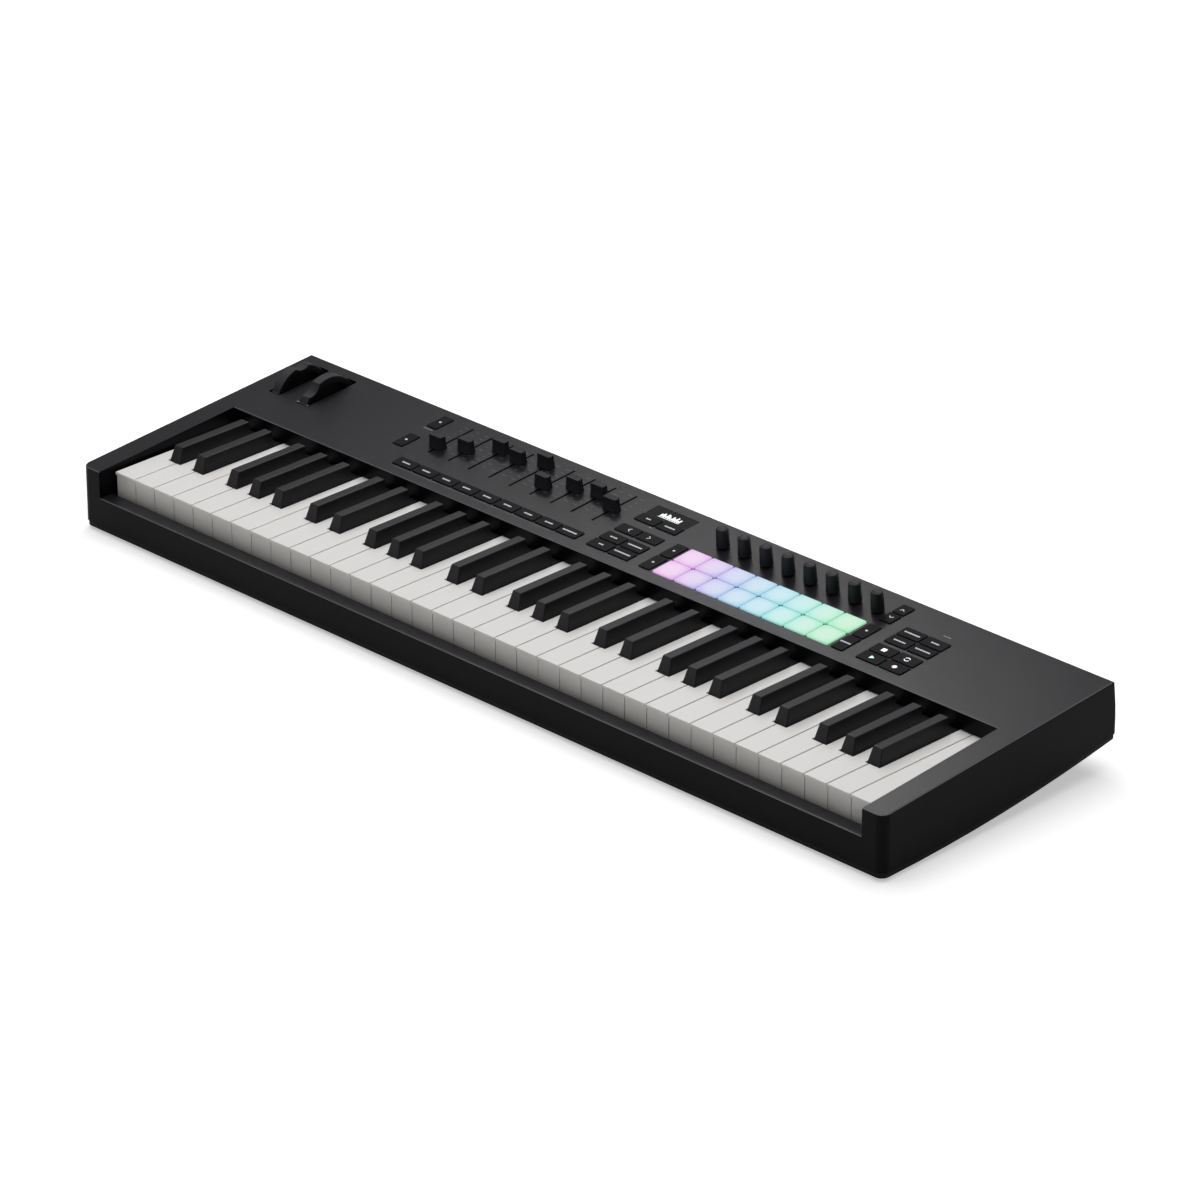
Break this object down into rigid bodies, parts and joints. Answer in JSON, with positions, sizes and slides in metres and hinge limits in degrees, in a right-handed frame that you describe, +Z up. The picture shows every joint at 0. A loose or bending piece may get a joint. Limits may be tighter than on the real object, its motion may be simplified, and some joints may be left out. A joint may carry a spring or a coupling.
{
  "type": "synthesizer",
  "caption": "Keyboard synthesizer with piano-style keys, lit drum pads, faders, knobs, push buttons, a small screen and pitch and modulation wheels in a sloping case.",
  "frame": {"origin": "middle of the footprint, on the surface that the rubber feet stand on", "axes": "+X along the keys from the low notes to the high notes, +Y from the player to the back, +Z up"},
  "size_m": [0.894, 0.264, 0.0913],
  "materials": {
    "case_plastic": "fine texture",
    "base_plastic": "fine texture",
    "chassis_plastic": "moulded",
    "steel": "bright",
    "board": "solder mask",
    "felt": "felt",
    "screen_glass": "gloss",
    "fader_body": "moulded",
    "socket_steel": "stamped",
    "socket_plastic": "moulded",
    "rubber": "matt",
    "wheel_rubber": "soft touch",
    "pad_silicone": "translucent silicone, lit from below",
    "button_plastic": "matt",
    "fader_cap": "satin",
    "knob_rubber": "soft touch",
    "white_key": "satin gloss",
    "black_key": "satin"
  },
  "bodies": {
    "case": {"top_case": "case_plastic", "bottom_case": "base_plastic", "key_chassis": "chassis_plastic", "key_pivot_rod": "steel", "key_contact_board": "board", "key_stop_felt": "felt", "key_springs": "steel", "control_board": "board", "screen": "screen_glass", "fader_tracks": "fader_body", "encoder_bodies": "fader_body", "wheel_bracket": "chassis_plastic", "usb_socket": "socket_steel", "midi_socket": "socket_plastic", "pedal_socket": "socket_plastic", "rubber_feet": "rubber", "case_screws": "steel"},
    "key_c": {"key_c": "white_key"},
    "key_d": {"key_d": "white_key"},
    "key_e": {"key_e": "white_key"},
    "key_f": {"key_f": "white_key"},
    "key_g": {"key_g": "white_key"},
    "key_a": {"key_a": "white_key"},
    "key_b": {"key_b": "white_key"},
    "key_c_sharp": {"key_c_sharp": "black_key"},
    "key_d_sharp": {"key_d_sharp": "black_key"},
    "key_f_sharp": {"key_f_sharp": "black_key"},
    "key_g_sharp": {"key_g_sharp": "black_key"},
    "key_a_sharp": {"key_a_sharp": "black_key"},
    "fader_cap_1": {"fader_cap_1": "fader_cap"},
    "fader_cap_2": {"fader_cap_2": "fader_cap"},
    "fader_cap_3": {"fader_cap_3": "fader_cap"},
    "fader_cap_4": {"fader_cap_4": "fader_cap"},
    "fader_cap_5": {"fader_cap_5": "fader_cap"},
    "fader_cap_6": {"fader_cap_6": "fader_cap"},
    "fader_cap_7": {"fader_cap_7": "fader_cap"},
    "fader_cap_8": {"fader_cap_8": "fader_cap"},
    "fader_cap_9": {"fader_cap_9": "fader_cap"},
    "knob_1": {"knob_1": "knob_rubber"},
    "knob_2": {"knob_2": "knob_rubber"},
    "knob_3": {"knob_3": "knob_rubber"},
    "knob_4": {"knob_4": "knob_rubber"},
    "knob_5": {"knob_5": "knob_rubber"},
    "knob_6": {"knob_6": "knob_rubber"},
    "knob_7": {"knob_7": "knob_rubber"},
    "knob_8": {"knob_8": "knob_rubber"},
    "pitch_wheel": {"pitch_wheel": "wheel_rubber"},
    "mod_wheel": {"mod_wheel": "wheel_rubber"},
    "pads_a": {"pads_a": "pad_silicone"},
    "pads_b": {"pads_b": "pad_silicone"},
    "pads_c": {"pads_c": "pad_silicone"},
    "pads_d": {"pads_d": "pad_silicone"},
    "bank_buttons": {"bank_buttons": "button_plastic"},
    "fader_row_buttons": {"fader_row_buttons": "button_plastic"},
    "screen_buttons": {"screen_buttons": "button_plastic"},
    "track_buttons": {"track_buttons": "button_plastic"},
    "mode_buttons": {"mode_buttons": "button_plastic"},
    "pad_side_buttons": {"pad_side_buttons": "button_plastic"},
    "function_buttons": {"function_buttons": "button_plastic"},
    "transport_buttons": {"transport_buttons": "button_plastic"}
  },
  "joints": [
    {"name": "key_c_hinge", "type": "hinge", "parent": "case", "child": "key_c", "pos_m": [0, 0.0415, 0.044], "axis": [1, 0, 0], "range_deg": [0, 3.6], "stiffness_Nm_per_rad": 2, "springref_deg": -14.32},
    {"name": "key_d_hinge", "type": "hinge", "parent": "case", "child": "key_d", "pos_m": [0, 0.0415, 0.044], "axis": [1, 0, 0], "range_deg": [0, 3.6], "stiffness_Nm_per_rad": 2, "springref_deg": -14.32},
    {"name": "key_e_hinge", "type": "hinge", "parent": "case", "child": "key_e", "pos_m": [0, 0.0415, 0.044], "axis": [1, 0, 0], "range_deg": [0, 3.6], "stiffness_Nm_per_rad": 2, "springref_deg": -14.32},
    {"name": "key_f_hinge", "type": "hinge", "parent": "case", "child": "key_f", "pos_m": [0, 0.0415, 0.044], "axis": [1, 0, 0], "range_deg": [0, 3.6], "stiffness_Nm_per_rad": 2, "springref_deg": -14.32},
    {"name": "key_g_hinge", "type": "hinge", "parent": "case", "child": "key_g", "pos_m": [0, 0.0415, 0.044], "axis": [1, 0, 0], "range_deg": [0, 3.6], "stiffness_Nm_per_rad": 2, "springref_deg": -14.32},
    {"name": "key_a_hinge", "type": "hinge", "parent": "case", "child": "key_a", "pos_m": [0, 0.0415, 0.044], "axis": [1, 0, 0], "range_deg": [0, 3.6], "stiffness_Nm_per_rad": 2, "springref_deg": -14.32},
    {"name": "key_b_hinge", "type": "hinge", "parent": "case", "child": "key_b", "pos_m": [0, 0.0415, 0.044], "axis": [1, 0, 0], "range_deg": [0, 3.6], "stiffness_Nm_per_rad": 2, "springref_deg": -14.32},
    {"name": "key_c_sharp_hinge", "type": "hinge", "parent": "case", "child": "key_c_sharp", "pos_m": [0, 0.0415, 0.044], "axis": [1, 0, 0], "range_deg": [0, 3.6], "stiffness_Nm_per_rad": 2, "springref_deg": -14.32},
    {"name": "key_d_sharp_hinge", "type": "hinge", "parent": "case", "child": "key_d_sharp", "pos_m": [0, 0.0415, 0.044], "axis": [1, 0, 0], "range_deg": [0, 3.6], "stiffness_Nm_per_rad": 2, "springref_deg": -14.32},
    {"name": "key_f_sharp_hinge", "type": "hinge", "parent": "case", "child": "key_f_sharp", "pos_m": [0, 0.0415, 0.044], "axis": [1, 0, 0], "range_deg": [0, 3.6], "stiffness_Nm_per_rad": 2, "springref_deg": -14.32},
    {"name": "key_g_sharp_hinge", "type": "hinge", "parent": "case", "child": "key_g_sharp", "pos_m": [0, 0.0415, 0.044], "axis": [1, 0, 0], "range_deg": [0, 3.6], "stiffness_Nm_per_rad": 2, "springref_deg": -14.32},
    {"name": "key_a_sharp_hinge", "type": "hinge", "parent": "case", "child": "key_a_sharp", "pos_m": [0, 0.0415, 0.044], "axis": [1, 0, 0], "range_deg": [0, 3.6], "stiffness_Nm_per_rad": 2, "springref_deg": -14.32},
    {"name": "fader_cap_1_slide", "type": "slide", "parent": "case", "child": "fader_cap_1", "axis": [0, 0.9971, 0.0767], "range_m": [-0.0078, 0.0372]},
    {"name": "fader_cap_2_slide", "type": "slide", "parent": "case", "child": "fader_cap_2", "axis": [0, 0.9971, 0.0767], "range_m": [-0.0174, 0.0276]},
    {"name": "fader_cap_3_slide", "type": "slide", "parent": "case", "child": "fader_cap_3", "axis": [0, 0.9971, 0.0767], "range_m": [-0.0342, 0.0108]},
    {"name": "fader_cap_4_slide", "type": "slide", "parent": "case", "child": "fader_cap_4", "axis": [0, 0.9971, 0.0767], "range_m": [-0.0305, 0.0145]},
    {"name": "fader_cap_5_slide", "type": "slide", "parent": "case", "child": "fader_cap_5", "axis": [0, 0.9971, 0.0767], "range_m": [-0.039, 0.006]},
    {"name": "fader_cap_6_slide", "type": "slide", "parent": "case", "child": "fader_cap_6", "axis": [0, 0.9971, 0.0767], "range_m": [-0.0125, 0.0325]},
    {"name": "fader_cap_7_slide", "type": "slide", "parent": "case", "child": "fader_cap_7", "axis": [0, 0.9971, 0.0767], "range_m": [-0.0249, 0.0201]},
    {"name": "fader_cap_8_slide", "type": "slide", "parent": "case", "child": "fader_cap_8", "axis": [0, 0.9971, 0.0767], "range_m": [-0.0292, 0.0158]},
    {"name": "fader_cap_9_slide", "type": "slide", "parent": "case", "child": "fader_cap_9", "axis": [0, 0.9971, 0.0767], "range_m": [-0.0194, 0.0256]},
    {"name": "knob_1_turn", "type": "hinge", "parent": "case", "child": "knob_1", "pos_m": [0.06705, 0.0955, 0.07351], "axis": [0, -0.0767, 0.9971], "continuous": true},
    {"name": "knob_2_turn", "type": "hinge", "parent": "case", "child": "knob_2", "pos_m": [0.09075, 0.0955, 0.07351], "axis": [0, -0.0767, 0.9971], "continuous": true},
    {"name": "knob_3_turn", "type": "hinge", "parent": "case", "child": "knob_3", "pos_m": [0.11445, 0.0955, 0.07351], "axis": [0, -0.0767, 0.9971], "continuous": true},
    {"name": "knob_4_turn", "type": "hinge", "parent": "case", "child": "knob_4", "pos_m": [0.13815, 0.0955, 0.07351], "axis": [0, -0.0767, 0.9971], "continuous": true},
    {"name": "knob_5_turn", "type": "hinge", "parent": "case", "child": "knob_5", "pos_m": [0.16185, 0.0955, 0.07351], "axis": [0, -0.0767, 0.9971], "continuous": true},
    {"name": "knob_6_turn", "type": "hinge", "parent": "case", "child": "knob_6", "pos_m": [0.18555, 0.0955, 0.07351], "axis": [0, -0.0767, 0.9971], "continuous": true},
    {"name": "knob_7_turn", "type": "hinge", "parent": "case", "child": "knob_7", "pos_m": [0.20925, 0.0955, 0.07351], "axis": [0, -0.0767, 0.9971], "continuous": true},
    {"name": "knob_8_turn", "type": "hinge", "parent": "case", "child": "knob_8", "pos_m": [0.23295, 0.0955, 0.07351], "axis": [0, -0.0767, 0.9971], "continuous": true},
    {"name": "pitch_wheel_turn", "type": "hinge", "parent": "case", "child": "pitch_wheel", "pos_m": [-0.4183, 0.0857, 0.05775], "axis": [1, 0, 0], "range_deg": [-32, 32], "stiffness_Nm_per_rad": 0.08},
    {"name": "mod_wheel_turn", "type": "hinge", "parent": "case", "child": "mod_wheel", "pos_m": [-0.3842, 0.0857, 0.05775], "axis": [-1, 0, 0], "range_deg": [0, 60]},
    {"name": "pads_a_press", "type": "slide", "parent": "case", "child": "pads_a", "axis": [0, 0.0767, -0.9971], "range_m": [0, 0.0008], "stiffness_N_per_m": 2500, "springref_m": -0.0006},
    {"name": "pads_b_press", "type": "slide", "parent": "case", "child": "pads_b", "axis": [0, 0.0767, -0.9971], "range_m": [0, 0.0008], "stiffness_N_per_m": 2500, "springref_m": -0.0006},
    {"name": "pads_c_press", "type": "slide", "parent": "case", "child": "pads_c", "axis": [0, 0.0767, -0.9971], "range_m": [0, 0.0008], "stiffness_N_per_m": 2500, "springref_m": -0.0006},
    {"name": "pads_d_press", "type": "slide", "parent": "case", "child": "pads_d", "axis": [0, 0.0767, -0.9971], "range_m": [0, 0.0008], "stiffness_N_per_m": 2500, "springref_m": -0.0006},
    {"name": "bank_buttons_press", "type": "slide", "parent": "case", "child": "bank_buttons", "axis": [0, 0.0767, -0.9971], "range_m": [0, 0.0006], "stiffness_N_per_m": 2000, "springref_m": -0.0005},
    {"name": "fader_row_buttons_press", "type": "slide", "parent": "case", "child": "fader_row_buttons", "axis": [0, 0.0767, -0.9971], "range_m": [0, 0.0006], "stiffness_N_per_m": 2000, "springref_m": -0.0005},
    {"name": "screen_buttons_press", "type": "slide", "parent": "case", "child": "screen_buttons", "axis": [0, 0.0767, -0.9971], "range_m": [0, 0.0006], "stiffness_N_per_m": 2000, "springref_m": -0.0005},
    {"name": "track_buttons_press", "type": "slide", "parent": "case", "child": "track_buttons", "axis": [0, 0.0767, -0.9971], "range_m": [0, 0.0006], "stiffness_N_per_m": 2000, "springref_m": -0.0005},
    {"name": "mode_buttons_press", "type": "slide", "parent": "case", "child": "mode_buttons", "axis": [0, 0.0767, -0.9971], "range_m": [0, 0.0006], "stiffness_N_per_m": 2000, "springref_m": -0.0005},
    {"name": "pad_side_buttons_press", "type": "slide", "parent": "case", "child": "pad_side_buttons", "axis": [0, 0.0767, -0.9971], "range_m": [0, 0.0006], "stiffness_N_per_m": 2000, "springref_m": -0.0005},
    {"name": "function_buttons_press", "type": "slide", "parent": "case", "child": "function_buttons", "axis": [0, 0.0767, -0.9971], "range_m": [0, 0.0006], "stiffness_N_per_m": 2000, "springref_m": -0.0005},
    {"name": "transport_buttons_press", "type": "slide", "parent": "case", "child": "transport_buttons", "axis": [0, 0.0767, -0.9971], "range_m": [0, 0.0006], "stiffness_N_per_m": 2000, "springref_m": -0.0005}
  ]
}
